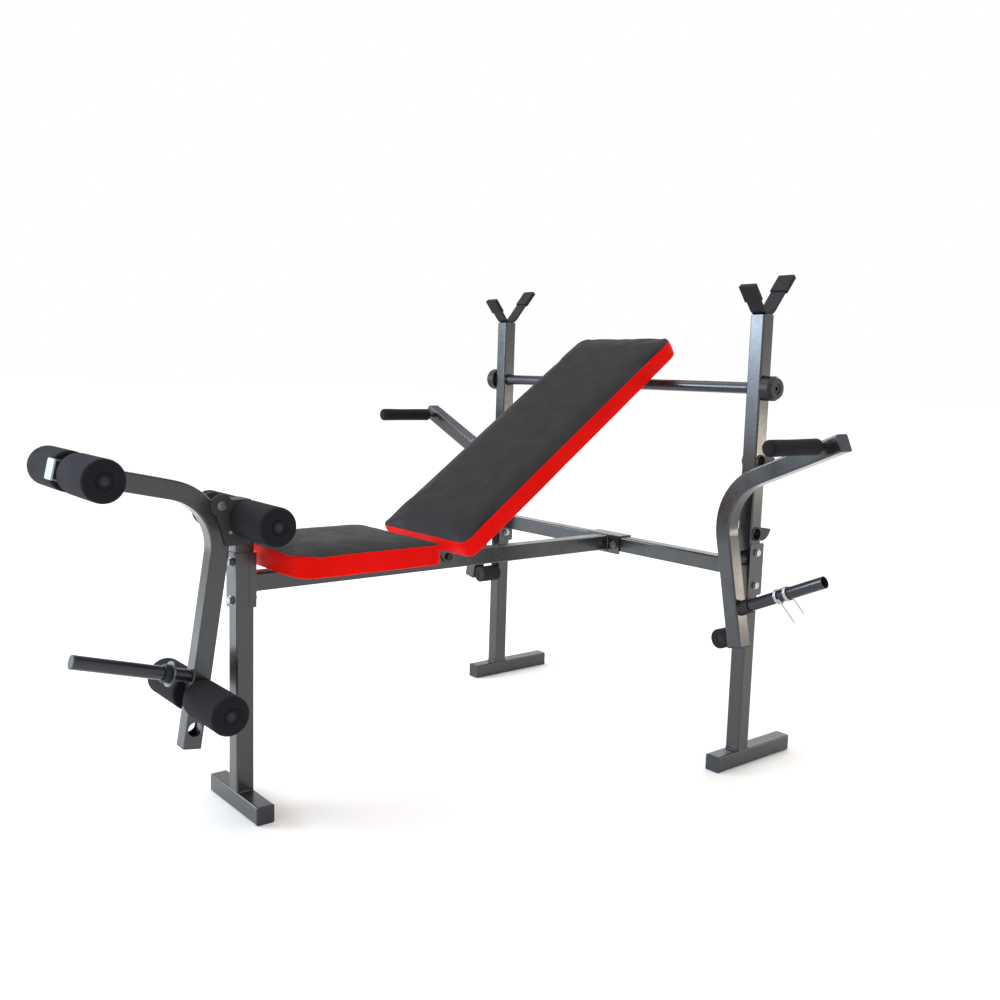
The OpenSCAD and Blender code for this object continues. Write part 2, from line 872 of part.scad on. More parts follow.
module bumpers() color(black) in_place() both_sides() difference() {
    rod_y(896, front_face, bumper_at, bumper_r);
    rod_y(895, 901, bumper_at, 7.5);
    rod_y(895, front_face + 1, bumper_at, 4.1);
}

module bumper_screws() color(black) in_place() both_sides() {
    rod_y(897.5, 901, bumper_at, 7);
    rod_y(898, front_face + 8, bumper_at, 4);
}

// Spring collar: two wound bands with a bridge between them and two straight handles.
module spring_collar() color(zinc) in_place() {
    ring_r = peg_r + run_gap + wire_r;
    on_peg() translate([0, 0, collar_s]) rotate([0, 0, collar_turn]) {
        for (z = [0, 3.4, 24, 27.4]) {
            translate([0, 0, z]) rotate_extrude() translate([ring_r, 0]) circle(r = wire_r, $fn = 24);
        }
        translate([-ring_r, 0, 0]) cylinder(r = wire_r, h = 27.4, $fn = 24);
        for (side = [[-1, 0, 9], [1, 27.4, 18.4]]) {
            translate([0, side[0] * ring_r, min(side[1], side[2])]) cylinder(r = wire_r, h = 9, $fn = 24);
            translate([-wire_r, side[0] * ring_r, side[2]]) rotate([0, 90, 0])
                cylinder(r = wire_r, h = handle_len, $fn = 24);
        }
    }
}

front_foot();
front_foot_caps();
front_post();
post_ears();
arm_stop();
post_clamp();
frame_bolts();
leg_pivot_bolt();
main_beam();
crossbar();
upright_plates();
upright_right();
upright_left();
rear_foot_caps();
rest_right();
rest_left();
rest_covers();
hole_bushings();
rear_lugs();
seat_board();
seat_pad();
seat_screws();
back_hinge_bolt();
arm_bolts();
arm_spacers();
bumpers();
bumper_screws();
support_bar();
bar_cap();
bar_knob();
back_rails();
back_board();
back_pad();
back_screws();
leg_arm();
leg_arm_caps();
leg_plate_post();
leg_post_disc();
leg_post_collar();
knee_tube();
knee_foams();
knee_plugs();
upper_tube();
upper_foams();
upper_plugs();
lower_tube();
lower_foams();
lower_plugs();
arm_right();
arm_left();
arm_cap_right();
arm_cap_left();
grip_right();
grip_left();
peg_right();
peg_left();
socket_right();
socket_left();
spring_collar();
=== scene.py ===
"""Adjustable weight bench: materials, cushions, foams, welds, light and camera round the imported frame."""

import json
import math

import bmesh
import bpy
import numpy as np
from mathutils import Matrix, Vector, noise


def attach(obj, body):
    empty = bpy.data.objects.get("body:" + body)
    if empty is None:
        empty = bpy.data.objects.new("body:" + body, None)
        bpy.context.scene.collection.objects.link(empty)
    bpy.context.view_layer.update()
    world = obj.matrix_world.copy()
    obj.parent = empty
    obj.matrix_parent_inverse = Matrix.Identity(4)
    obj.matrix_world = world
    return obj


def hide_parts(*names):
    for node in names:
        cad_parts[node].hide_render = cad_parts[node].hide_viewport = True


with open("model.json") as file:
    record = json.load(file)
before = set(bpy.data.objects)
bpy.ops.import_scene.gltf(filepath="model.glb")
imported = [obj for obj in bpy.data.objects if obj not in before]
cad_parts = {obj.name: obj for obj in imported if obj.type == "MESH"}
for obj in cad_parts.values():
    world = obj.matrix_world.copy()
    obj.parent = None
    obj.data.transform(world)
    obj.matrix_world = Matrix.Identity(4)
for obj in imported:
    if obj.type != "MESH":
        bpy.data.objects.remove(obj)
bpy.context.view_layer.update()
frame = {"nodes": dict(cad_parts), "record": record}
nodes = frame["nodes"]
scene = bpy.context.scene

MM = 0.001

# Places and sizes of the frame in mm, from the foot of the front post.
MID_Y = 399.7        # the row frame's origin lies this far behind the post
TUBE_HALF = 17.5     # half the side of the square tubes
UPRIGHT_X = 417.0
RACK_Y = 971.5
BEAM_Z = 436.0       # centre line of the main beam and the crossbar
FOOT_WELD_Z = 36.0   # just over the top of the foot tubes
REST_WELD_Z = 974.0  # top of the uprights
GRIP_X, GRIP_Z = 634.0, 716.0
GRIP_Y = (716.0, 872.0)
ROLLERS = {"knee": (0.0, 558.0), "upper": (-297.0, 651.2), "lower": (-89.2, 235.0)}
FOAM_START = {"knee": 24.0, "upper": 20.0, "lower": 20.0}
FOAM_END = 150.0
FOAM_R, FOAM_BORE = 35.5, 12.8
BACK_TILT = math.radians(36.2)


def row(x, y, z):
    """A point given in mm from the foot of the front post, in the row frame in metres."""
    return Vector((x, y - MID_Y, z)) * MM


# ---- materials ----


class Graph:
    """A material's node tree, with short calls for the nodes used here."""

    def __init__(self, name, mat=None):
        self.mat = mat or bpy.data.materials.new(name)
        self.mat.use_nodes = True
        self.tree = self.mat.node_tree
        self.bsdf = self.tree.nodes["Principled BSDF"]
        self.coords = self.tree.nodes.new("ShaderNodeTexCoord").outputs["Object"]

    def node(self, kind, inputs=(), **props):
        n = self.tree.nodes.new("ShaderNode" + kind)
        for k, v in props.items():
            setattr(n, k, v)
        for k, v in dict(inputs).items():
            if isinstance(v, bpy.types.NodeSocket):
                self.tree.links.new(v, n.inputs[k])
            else:
                n.inputs[k].default_value = v
        return n

    def noise(self, scale, detail=3.0, rough=0.5, vector=None):
        return self.node(
            "TexNoise",
            {"Vector": vector or self.coords, "Scale": scale, "Detail": detail, "Roughness": rough},
        ).outputs["Fac"]

    def voronoi(self, scale, feature="F1", vector=None):
        n = self.node("TexVoronoi", {"Vector": vector or self.coords, "Scale": scale}, feature=feature)
        return n.outputs["Distance"]

    def stretch(self, x, y, z):
        return self.node("Mapping", {"Vector": self.coords, "Scale": (x, y, z)}).outputs["Vector"]

    def ramp(self, fac, stops):
        n = self.node("ValToRGB", {"Fac": fac})
        el = n.color_ramp.elements
        while len(el) > 1:
            el.remove(el[0])
        el[0].position, el[0].color = stops[0][0], (*stops[0][1], 1)
        for pos, col in stops[1:]:
            el.new(pos).color = (*col, 1)
        return n.outputs["Color"]

    def span(self, fac, low, high, a=0.3, b=0.7):
        return self.node(
            "MapRange", {"Value": fac, "From Min": a, "From Max": b, "To Min": low, "To Max": high}
        ).outputs["Result"]

    def math(self, op, a, b=0.0):
        n = self.node("Math", operation=op)
        for i, v in enumerate((a, b)):
            if isinstance(v, bpy.types.NodeSocket):
                self.tree.links.new(v, n.inputs[i])
            else:
                n.inputs[i].default_value = v
        return n.outputs[0]

    def mix(self, fac, a, b):
        n = self.node("Mix", data_type="RGBA")
        for i, v in ((0, fac), (6, a), (7, b)):
            if isinstance(v, bpy.types.NodeSocket):
                self.tree.links.new(v, n.inputs[i])
            else:
                n.inputs[i].default_value = v if i == 0 else (*v, 1)
        return n.outputs[2]

    def bump(self, height, strength, distance, normal=None):
        ins = {"Height": height, "Strength": strength, "Distance": distance}
        if normal:
            ins["Normal"] = normal
        return self.node("Bump", ins).outputs["Normal"]

    def set(self, **values):
        for k, v in values.items():
            name = k.replace("_", " ")
            socket = self.bsdf.inputs[name]
            if isinstance(v, bpy.types.NodeSocket):
                self.tree.links.new(v, socket)
            else:
                socket.default_value = v
        return self.mat


def scaled(color, k):
    return tuple(c * k for c in color)


def powder_coat(name, color, metal, rough):
    """Metallic powder coat: fine flake, orange peel and slow changes of tone."""
    g = Graph(name)
    slow = g.noise(7.0, 2.0)
    flake = g.voronoi(2600.0)
    tone = g.ramp(slow, [(0.3, scaled(color, 0.93)), (0.7, scaled(color, 1.07))])
    spark = g.ramp(flake, [(0.0, scaled(color, 1.3)), (0.25, color), (1.0, scaled(color, 0.88))])
    peel = g.noise(520.0, 2.0)
    smudge = g.noise(24.0, 4.0, 0.6)
    return g.set(
        Base_Color=g.mix(0.3, tone, spark),
        Metallic=metal,
        Roughness=g.span(smudge, *rough),
        Coat_Weight=0.25,
        Coat_Roughness=0.16,
        Normal=g.bump(g.math("ADD", g.math("MULTIPLY", peel, 0.8), flake), 0.05, 0.0001),
    )


def plated(name, color, rough=(0.24, 0.4)):
    """Bare or plated metal with drawing marks and stains."""
    g = Graph(name)
    drag = g.noise(1.0, 3.0, 0.6, g.stretch(900, 900, 60))
    stain = g.noise(60.0, 4.0, 0.65)
    tone = g.ramp(stain, [(0.3, scaled(color, 0.82)), (0.62, color), (0.8, scaled(color, 1.08))])
    return g.set(
        Base_Color=tone,
        Metallic=1.0,
        Roughness=g.span(stain, *rough),
        Normal=g.bump(drag, 0.12, 0.0001),
    )


def plastic(name, color, rough=(0.38, 0.52), grain=900.0, spec=0.5):
    """Moulded plastic or rubber with a fine pebble grain."""
    g = Graph(name)
    pebble = g.noise(grain, 3.0, 0.6)
    haze = g.noise(40.0, 4.0, 0.6)
    tone = g.ramp(haze, [(0.3, scaled(color, 0.85)), (0.75, scaled(color, 1.25))])
    return g.set(
        Base_Color=tone,
        Roughness=g.span(haze, *rough),
        Specular_IOR_Level=spec,
        Normal=g.bump(pebble, 0.25, 0.00025),
    )


def foam_skin(name, color):
    """Closed cell foam sleeve: matt, with small open pores darkened by painted shade, and rubbed patches."""
    g = Graph(name)
    pores = g.voronoi(850.0)
    fuzz = g.noise(1900.0, 3.0, 0.7)
    rub = g.noise(22.0, 5.0, 0.62)
    base = g.ramp(rub, [(0.3, scaled(color, 0.8)), (0.6, color), (0.8, scaled(color, 1.6))])
    # Painted shade: the colour is darkened inside the sunk pores.
    pore_shade = g.ramp(pores, [(0.0, (0.35, 0.35, 0.35)), (0.3, (1, 1, 1))])
    n = g.node("Mix", data_type="RGBA", blend_type="MULTIPLY")
    g.tree.links.new(base, n.inputs[6])
    g.tree.links.new(pore_shade, n.inputs[7])
    n.inputs[0].default_value = 0.7
    rough_skin = g.bump(fuzz, 0.35, 0.0004)
    return g.set(
        Base_Color=n.outputs[2],
        Roughness=g.span(rub, 0.82, 0.96),
        Specular_IOR_Level=0.2,
        Normal=g.bump(pores, 0.45, 0.0007, rough_skin),
    )


def vinyl(name, color, light, rough, spec):
    """Upholstery vinyl with an embossed leather grain, and painted shade darkening its grooves."""
    g = Graph(name)
    warp = g.noise(160.0, 3.0, 0.6)
    cells = g.voronoi(620.0, "DISTANCE_TO_EDGE")
    crease = g.span(cells, 0.0, 1.0, 0.0, 0.22)
    wear = g.noise(9.0, 5.0, 0.62)
    tone = g.ramp(wear, [(0.28, scaled(color, 0.86)), (0.5, color), (0.74, light)])
    # Painted shade: the grain's sunk grooves are darkened towards 0.45 of the colour.
    groove_shade = g.mix(g.math("MULTIPLY", g.math("SUBTRACT", 1.0, crease), 0.35), tone, scaled(color, 0.45))
    soft = g.bump(warp, 0.16, 0.0008)
    return g.set(
        Base_Color=groove_shade,
        Roughness=g.span(g.noise(30.0, 4.0), *rough),
        Specular_IOR_Level=spec,
        Normal=g.bump(crease, 0.32, 0.00035, soft),
    )


def plywood(name):
    """Bare plywood, its grain along Y."""
    g = Graph(name)
    grain = g.noise(1.0, 6.0, 0.65, g.stretch(220, 9, 220))
    blotch = g.noise(6.0, 3.0)
    tone = g.ramp(grain, [(0.3, (0.30, 0.19, 0.10)), (0.5, (0.44, 0.31, 0.18)), (0.72, (0.55, 0.41, 0.26))])
    return g.set(
        Base_Color=g.mix(g.span(blotch, 0.0, 0.4), tone, (0.34, 0.22, 0.12)),
        Roughness=g.span(grain, 0.62, 0.8),
        Normal=g.bump(grain, 0.3, 0.0004),
    )


GREY = powder_coat("grey_powder_coat", (0.059, 0.0605, 0.063), 0.8, (0.20, 0.32))
DARK_TUBE = powder_coat("dark_powder_coat", (0.030, 0.031, 0.038), 0.6, (0.22, 0.34))
# Painted shade: the post ears, part of the grey frame, get a darker matt copy of its coat, so their top web
# shows dark and does not catch light.
EAR_SHADED_COAT = plastic("ear_powder_coat", (0.036, 0.034, 0.033), (0.45, 0.58), 1200.0, 0.2)
BLACK_COAT = plastic("black_powder_coat", (0.011, 0.011, 0.013), (0.55, 0.68), 1200.0, 0.22)
ZINC = plated("zinc_plate", (0.43, 0.43, 0.44))
DULL_ZINC = plated("dull_zinc", (0.17, 0.18, 0.20), (0.35, 0.5))
CHROME = plated("bright_wire", (0.50, 0.52, 0.54), (0.12, 0.22))
BLACK_BOLT = plated("black_oxide", (0.04, 0.04, 0.045), (0.36, 0.5))
PLASTIC = plastic("black_plastic", (0.009, 0.0085, 0.010), spec=0.35)
PLUG = plastic("plug_face", (0.026, 0.022, 0.026), (0.5, 0.62), spec=0.15)
CAP = plastic("dark_grey_cap", (0.030, 0.031, 0.040), (0.42, 0.55), spec=0.3)
RUBBER = plastic("moulded_rubber", (0.008, 0.008, 0.009), (0.6, 0.78), 1400.0, 0.25)
FOAM = foam_skin("foam_sleeve", (0.0085, 0.0075, 0.0105))
VINYL = vinyl("black_vinyl", (0.0112, 0.0102, 0.0110), (0.0122, 0.0112, 0.0120), (0.46, 0.56), spec=0.125)
RED = vinyl("red_vinyl", (0.76, 0.0040, 0.0018), (0.80, 0.006, 0.0035), (0.42, 0.54), spec=0.04)
PLY = plywood("plywood")


def cap_with_painted_highlight(name, low, high, level):
    """Moulded caps on one part: their own dark grey under a level in metres, and above it a pale grey that is a
    painted highlight, for the cap that faces the light.
    """
    g = Graph(name, plastic(name, high, (0.4, 0.55)))
    height = g.node("SeparateXYZ", {"Vector": g.coords}).outputs["Z"]
    above = g.math("GREATER_THAN", height, level)
    speck = g.noise(40.0, 4.0, 0.6)
    under = g.ramp(speck, [(0.3, scaled(low, 0.85)), (0.75, scaled(low, 1.25))])
    over = g.ramp(speck, [(0.3, scaled(high, 0.92)), (0.75, scaled(high, 1.08))])
    # Above the level the cap takes the pale painted highlight tone.
    n = g.node("Mix", {0: above}, data_type="RGBA")
    g.tree.links.new(under, n.inputs[6])
    g.tree.links.new(over, n.inputs[7])
    return g.set(Base_Color=n.outputs[2])


# Painted highlight: the leg arm's upper end cap, above 0.5 m, is pale grey; the caps below keep their dark
# grey.
CAP_PAINTED_HIGHLIGHT = cap_with_painted_highlight("arm_end_caps", (0.030, 0.034, 0.044), (0.36, 0.40, 0.46), 0.5)

PAINT = {
    "zinc": ZINC,
    "chrome": CHROME,
    "black_bolt": BLACK_BOLT,
    "black_plastic": PLASTIC,
    "rubber": RUBBER,
    "foam": FOAM,
    "vinyl": VINYL,
    "plywood": PLY,
    "grey_cap": CAP,
    "grey_powder_coat": GREY,
}
SPECIAL = {
    "post_ears": EAR_SHADED_COAT,
    "support_bar": DARK_TUBE,
    "peg_right": DARK_TUBE,
    "peg_left": DARK_TUBE,
    "leg_plate_post": DARK_TUBE,
    "front_foot_caps": CAP,
    "rear_foot_caps": CAP,
    "leg_arm_caps": CAP_PAINTED_HIGHLIGHT,
    "leg_post_disc": DULL_ZINC,
    "rest_right": BLACK_COAT,
    "rest_left": BLACK_COAT,
}
slots = {s["node"]: s["material_slot"] for s in frame["record"]["subparts"]}
for name, obj in nodes.items():
    obj.data.materials.clear()
    obj.data.materials.append(SPECIAL.get(name, PAINT[slots[name]]))

# Width of the rounded edges in metres, and the nodes that have it.
BEVELS = {
    0.0012: [
        "front_foot_caps", "rear_foot_caps", "leg_arm_caps", "arm_cap_right", "arm_cap_left", "rest_covers",
    ],
    0.0006: [
        "post_ears", "post_clamp", "upright_plates", "rest_right", "rest_left", "frame_bolts", "leg_pivot_bolt",
        "arm_bolts", "back_hinge_bolt", "bumper_screws", "seat_screws", "back_screws", "leg_post_disc",
        "leg_post_collar", "back_rails", "hole_bushings", "arm_spacers", "socket_right", "socket_left",
    ],
    0.0025: ["bumpers", "rear_lugs", "bar_cap", "bar_knob"],
}
for width, names in BEVELS.items():
    for name in names:
        b = nodes[name].modifiers.new("edge", "BEVEL")
        b.width, b.segments, b.limit_method, b.angle_limit = width, 3, "ANGLE", math.radians(35)
        b.harden_normals = False


# ---- mesh helpers ----


def add_mesh(name, verts, faces, mats, face_mats=None):
    me = bpy.data.meshes.new(name)
    me.from_pydata([tuple(v) for v in verts], [], faces)
    me.validate()
    for m in mats:
        me.materials.append(m)
    me.polygons.foreach_set("use_smooth", [True] * len(me.polygons))
    if face_mats:
        me.polygons.foreach_set("material_index", face_mats)
    me.update()
    o = bpy.data.objects.new(name, me)
    scene.collection.objects.link(o)
    return o


def face_outwards(o):
    bm = bmesh.new()
    bm.from_mesh(o.data)
    bmesh.ops.recalc_face_normals(bm, faces=bm.faces)
    bm.to_mesh(o.data)
    bm.free()


def revolve(name, profile, matrix, mat, steps, wobble=0.0, seed=0.0):
    """Turns a profile of (distance along Z, radius) in mm about Z; matrix places it. Radius 0 closes an end."""
    verts, faces, rings = [], [], []
    for z, r in profile:
        if r < 1e-6:
            rings.append([len(verts)])
            verts.append(matrix @ Vector((0, 0, z * MM)))
            continue
        ring = []
        for i in range(steps):
            a = 2 * math.pi * i / steps
            k = r + wobble * noise.noise(Vector((math.cos(a) * 1.4 + seed, math.sin(a) * 1.4, z * 0.03)))
            ring.append(len(verts))
            verts.append(matrix @ Vector((math.cos(a) * k * MM, math.sin(a) * k * MM, z * MM)))
        rings.append(ring)
    for a, b in zip(rings, rings[1:]):
        for i in range(steps):
            j = (i + 1) % steps
            if len(a) == 1 and len(b) > 1:
                faces.append((a[0], b[j], b[i]))
            elif len(b) == 1 and len(a) > 1:
                faces.append((a[i], a[j], b[0]))
            elif len(a) > 1:
                faces.append((a[i], a[j], b[j], b[i]))
    o = add_mesh(name, verts, faces, [mat])
    face_outwards(o)
    return o


def arc(cz, cr, r, a0, a1, n):
    """Points of a round edge in a revolve profile, angles in degrees, 0 along Z and 90 outwards."""
    out = []
    for i in range(n + 1):
        a = math.radians(a0 + (a1 - a0) * i / n)
        out.append((cz + r * math.cos(a), cr + r * math.sin(a)))
    return out


def axis_matrix(origin, direction):
    return Matrix.Translation(origin) @ Vector(direction).to_track_quat("Z", "Y").to_matrix().to_4x4()


def weld(name, points, radius=2.4, closed=False):
    """A painted weld bead: overlapping ripples along a path in the row frame, in metres."""
    pts = [Vector(p) for p in points]
    if closed:
        pts.append(pts[0])
    path = [pts[0]]
    for a, b in zip(pts, pts[1:]):
        n = max(1, int((b - a).length / 0.0011))
        path += [a.lerp(b, (i + 1) / n) for i in range(n)]
    verts, faces, sides, run = [], [], 8, 0.0
    for i, p in enumerate(path):
        d = (path[min(i + 1, len(path) - 1)] - path[max(i - 1, 0)]).normalized()
        run += (p - path[max(i - 1, 0)]).length
        u = d.orthogonal().normalized()
        w = d.cross(u)
        wander = noise.noise(p * 300) * 0.22
        r = radius * MM * (1 + wander + 0.2 * abs(math.sin(run * math.pi / 0.0044)))
        if not closed and i in (0, len(path) - 1):
            r *= 0.45
        for k in range(sides):
            a = 2 * math.pi * k / sides
            verts.append(p + (u * math.cos(a) + w * math.sin(a)) * r)
    for i in range(len(path) - 1):
        for k in range(sides):
            m = (k + 1) % sides
            faces.append((i * sides + k, i * sides + m, (i + 1) * sides + m, (i + 1) * sides + k))
    faces.append(tuple(range(sides)))
    faces.append(tuple((len(path) - 1) * sides + k for k in range(sides)))
    o = add_mesh(name, verts, faces, [GREY])
    face_outwards(o)
    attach(o, "frame")


# ---- foam rollers, plugs and grips ----


def foam_piece(o, body, node):
    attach(o, body)
    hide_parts(node)


def roller_foam(name, node, m, body, seed, a):
    """Foam sleeve from a to its end, with soft round shoulders, drawn in a little by the plug."""
    r, b = FOAM_R, FOAM_END
    prof = [(a, FOAM_BORE), (a, 28.0)] + arc(a + 5, r - 5, 5, 180, 90, 5)
    prof += [(a + 5 + (b - a - 10) * i / 14, r) for i in range(1, 14)]
    prof += arc(b - 7, r - 7, 7, 90, 0, 7)
    prof += [(b - 0.2, 22.0), (b - 0.3, 16.0), (b - 1.2, 14.2), (b - 4.5, FOAM_BORE)]
    foam_piece(revolve(name, prof, m, FOAM, 72, 0.35, seed), body, node)


def roller_plug(name, node, m, body):
    """Plug that closes the tube, with a flange in the foam and a slightly paler face."""
    prof = [(135.0, 0.0), (135.0, 10.8), (146.6, 10.8), (146.9, 13.2), (148.6, 13.6), (149.4, 12.8)]
    prof += [(149.7, 11.0), (149.5, 9.4), (149.0, 8.6), (148.8, 0.0)]
    face = [(149.2, 0.0), (149.3, 4.0), (149.3, 6.6), (149.1, 7.8), (148.8, 7.4), (148.6, 0.0)]
    for tag, shape, mat in (("", prof, FOAM), ("_face", face, PLUG)):
        o = revolve(name + tag, shape, m, mat, 48)
        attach(o, body)
        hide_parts(node)


for i, (name, at) in enumerate(ROLLERS.items()):
    for tag, side in (("right", 1), ("left", -1)):
        m = axis_matrix(row(0, *at), (side, 0, 0))
        body = f"{name}_roller"
        roller_foam(f"{name}_foam_{tag}", f"{name}_foams", m, body, i * 3.1 + side, FOAM_START[name])
        roller_plug(f"{name}_plug_{tag}", f"{name}_plugs", m, body)

for tag, side in (("right", 1), ("left", -1)):
    span = GRIP_Y[1] - GRIP_Y[0]
    prof = [(0.0, 0.0), (0.4, 5.0)] + arc(7.5, 8.5, 7.5, 180, 90, 7)
    prof += [(7.5 + (span - 15) * i / 12, 16.0 - 0.5 * math.sin(math.pi * i / 12)) for i in range(1, 12)]
    prof += arc(span - 6, 10.0, 6.0, 90, 0, 5) + [(span - 0.5, 8.4), (span - 6, 8.1)]
    m = axis_matrix(row(side * GRIP_X, GRIP_Y[0], GRIP_Z), (0, 1, 0))
    foam_piece(revolve(f"grip_foam_{tag}", prof, m, FOAM, 48, 0.25, side * 5.0), f"fly_{tag}", f"grip_{tag}")


# ---- cushions ----


class Pad:
    """An upholstered pad. x is across, y along from 0 to its length, z square to its face, in mm."""

    def __init__(self, half, length, r0, r1, deep, crown):
        self.half, self.length, self.r0, self.r1 = half, length, r0, r1
        self.deep, self.crown = deep, crown
        steps = 9
        self.rows = []
        for k in range(steps + 1):
            a = math.radians(90 * k / steps)
            self.rows.append((r0 * (1 - math.cos(a)), half - r0 + r0 * math.sin(a), a, 0))
        n = max(2, round((length - r0 - r1) / 12.0))
        for k in range(1, n):
            self.rows.append((r0 + (length - r0 - r1) * k / n, half, math.pi / 2, 0))
        for k in range(steps, -1, -1):
            a = math.radians(90 * k / steps)
            self.rows.append((length - r1 * (1 - math.cos(a)), half - r1 + r1 * math.sin(a), a, 1))
        inner = [-1 + 2 * i / 22 for i in range(1, 22)]
        self.cols = [-1.0, -0.975] + inner + [0.975, 1.0]

    def swell(self, x, y):
        """Height of the crowned top over its seam, from 0 at the edge to 1 inside."""
        fx = 1 - abs(x / self.half) ** 5
        fy = 1 - abs(2 * y / self.length - 1) ** (5 * self.length / (2 * self.half))
        return max(fx, 0) * max(fy, 0)

    def build(self, name, mats):
        """Black top inside the seam, red side round it and a turn-in stapled under the board."""
        verts, faces, kinds = [], [], []
        inset, seam_z = 2.2, -2.5
        shrink_x, shrink_y = 1 - inset / self.half, 1 - 2 * inset / self.length
        middle = self.length / 2
        grid = []
        for y, w, a, end in self.rows:
            line = []
            for s in self.cols:
                x = s * w
                z = seam_z + (self.crown - seam_z) * self.swell(x, y) ** 0.6
                line.append(len(verts))
                verts.append([x * shrink_x, (y - middle) * shrink_y + middle, z])
            grid.append(line)
        nr, nc = len(grid), len(self.cols)
        for j in range(nr - 1):
            for i in range(nc - 1):
                faces.append((grid[j][i], grid[j][i + 1], grid[j + 1][i + 1], grid[j + 1][i]))
                kinds.append(0)
        border, outward = [], []
        for i in range(nc):
            border.append(grid[0][i])
            outward.append((0.0, -1.0))
        for j in range(1, nr - 1):
            border.append(grid[j][-1])
            y, w, a, end = self.rows[j]
            outward.append((math.sin(a), -math.cos(a) if end == 0 else math.cos(a)))
        for i in range(nc - 1, -1, -1):
            border.append(grid[-1][i])
            outward.append((0.0, 1.0))
        for j in range(nr - 2, 0, -1):
            border.append(grid[j][0])
            y, w, a, end = self.rows[j]
            outward.append((-math.sin(a), -math.cos(a) if end == 0 else math.cos(a)))
        base = [Vector(verts[b]) for b in border]
        normal = [Vector((*n, 0)) for n in outward]
        loops = [border]
        low = -self.deep
        side = [
            (0.5, -3.6), (1.7, -6.0), (2.2, -11.0), (2.4, -18.0), (2.3, -25.0), (2.0, low + 7),
            (1.4, low + 2.2), (-0.6, low - 0.2), (-7.0, low - 0.9), (-16.0, low - 0.8),
            (-20.0, low - 0.6), (-20.2, low + 0.3),
        ]
        for off, z in side:
            ring = []
            for p, n in zip(base, normal):
                q = p + n * off
                ring.append(len(verts))
                verts.append([q.x, q.y, z])
            loops.append(ring)
        for a, b in zip(loops, loops[1:]):
            for i in range(len(a)):
                j = (i + 1) % len(a)
                faces.append((a[j], a[i], b[i], b[j]))
                kinds.append(1)
        self.border, self.loops = border, loops
        self.obj = add_mesh(name, [Vector(v) * MM for v in verts], faces, mats, kinds)
        return self.obj

    def inflate(self, pressure, cap, frames=20):
        """Blows the cover up as cloth, held where it is stapled to the board, and keeps the result."""
        o = self.obj
        held = [v for ring in self.loops[6:] for v in ring]
        group = o.vertex_groups.new(name="held")
        group.add(held, 1.0, "REPLACE")
        group.add(self.border, 0.25, "REPLACE")
        rest = np.array([v.co for v in o.data.vertices])
        mod = o.modifiers.new("cloth", "CLOTH")
        c = mod.settings
        c.quality, c.mass, c.time_scale = 8, 0.3, 1.0
        c.tension_stiffness = c.compression_stiffness = 25
        c.shear_stiffness, c.bending_stiffness = 10, 1.5
        c.tension_damping = c.compression_damping = c.shear_damping = 20
        c.use_pressure, c.uniform_pressure_force = True, pressure
        c.effector_weights.gravity = 0
        c.vertex_group_mass = "held"
        mod.point_cache.frame_start, mod.point_cache.frame_end = 1, frames
        for f in range(1, frames + 1):
            scene.frame_set(f)
        dg = bpy.context.evaluated_depsgraph_get()
        done = np.array([v.co for v in o.evaluated_get(dg).to_mesh().vertices])
        o.modifiers.remove(mod)
        scene.frame_set(1)
        move = done - rest
        size = np.linalg.norm(move, axis=1, keepdims=True)
        print("cushion", o.name, "moved up to", round(float(size.max()) * 1000, 1), "mm")
        move = np.nan_to_num(move * np.minimum(1, cap * MM / np.maximum(size, 1e-9)))
        for v, p in zip(o.data.vertices, rest + move):
            v.co = p
        o.vertex_groups.clear()

    def finish(self, seed):
        """Settles small waves into the vinyl, with pleats drawn round the corners."""
        o = self.obj
        sub = o.modifiers.new("round", "SUBSURF")
        sub.levels = sub.render_levels = 1
        dg = bpy.context.evaluated_depsgraph_get()
        me = bpy.data.meshes.new_from_object(o.evaluated_get(dg))
        o.modifiers.clear()
        o.data = me
        ends = ((self.r0, self.r0), (self.r1, self.length - self.r1))
        corners = [(sx * (self.half - r), y) for sx in (-1, 1) for r, y in ends]
        for v in me.vertices:
            p = v.co * 1000
            q = Vector((p.x * 0.013 + seed, p.y * 0.009, p.z * 0.02))
            amount = 0.55 * noise.noise(q) + 0.25 * noise.noise(q * 3.1)
            if p.z < -1 and p.z > -self.deep + 1:
                for cx, cy in corners:
                    d = Vector((p.x - cx, p.y - cy))
                    if d.x * cx > 0 and (d.y > 0) == (cy > self.length / 2):
                        ang = math.atan2(d.y, d.x)
                        low = min(1.0, max(0.0, (-p.z - 6) / (self.deep - 8)))
                        fade = 0.6 + 0.6 * noise.noise(Vector((ang * 4, seed, 0)))
                        amount += 0.85 * low * math.sin(ang * 17 + seed) * fade
            v.co += v.normal * amount * MM


PRESSURE = 1.2   # of the cloth simulation
MOST_MOVE = 7.0  # how far it may move a point, in mm


def upholster(name, pad, matrix, body, covers, seed):
    o = pad.build(name, [VINYL, RED])
    pad.inflate(PRESSURE, MOST_MOVE)
    pad.finish(seed)
    o.data.transform(matrix)
    o.data.update()
    sub = o.modifiers.new("round", "SUBSURF")
    sub.levels = sub.render_levels = 1
    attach(o, body)
    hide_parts(covers)


SEAT = Matrix.Translation(row(0, 40, 502))
BACK = Matrix.Translation(row(0, 402.4, 496.4)) @ Matrix.Rotation(BACK_TILT, 4, "X")
upholster("seat_cushion", Pad(154, 315, 40, 20, 42, 3.0), SEAT, "frame", "seat_pad", 1.7)
upholster("back_cushion", Pad(154, 741, 20, 32, 40, 3.0), BACK, "backrest", "back_pad", 4.2)


# ---- welds ----


def square_ring(cx, cy, cz, u, v, half=TUBE_HALF):
    """Corners of a square round a tube: u and v are unit steps, in mm from the front post."""
    out = []
    for a, b in ((-1, -1), (1, -1), (1, 1), (-1, 1)):
        out.append(row(*(c + half * (a * p + b * q) for c, p, q in zip((cx, cy, cz), u, v))))
    return out


